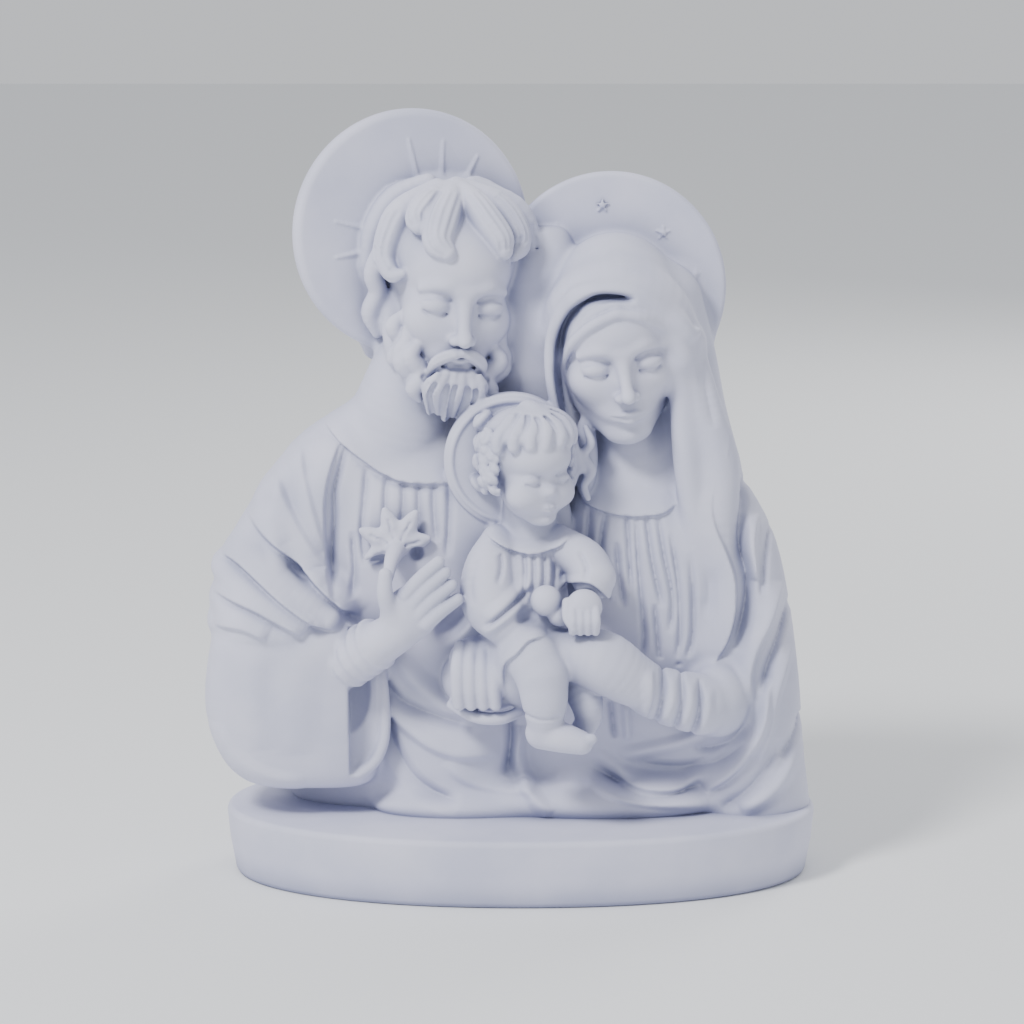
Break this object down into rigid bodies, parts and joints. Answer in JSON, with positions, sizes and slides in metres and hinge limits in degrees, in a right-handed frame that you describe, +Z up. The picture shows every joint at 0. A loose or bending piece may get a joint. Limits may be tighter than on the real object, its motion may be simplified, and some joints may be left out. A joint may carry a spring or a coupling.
{
  "type": "family group statue",
  "caption": "Cast statue of a standing bearded man, a veiled woman and a seated child in draped robes, with round halos, on one low oval plinth.",
  "frame": {"origin": "centre of the plinth's flat underside", "axes": "+Z up, -Y towards the front, +X to the viewer's right"},
  "size_m": [0.2401, 0.13, 0.3004],
  "materials": {
    "plaster": "matte"
  },
  "bodies": {
    "root": {"holy_family_group": "plaster"}
  },
  "joints": []
}
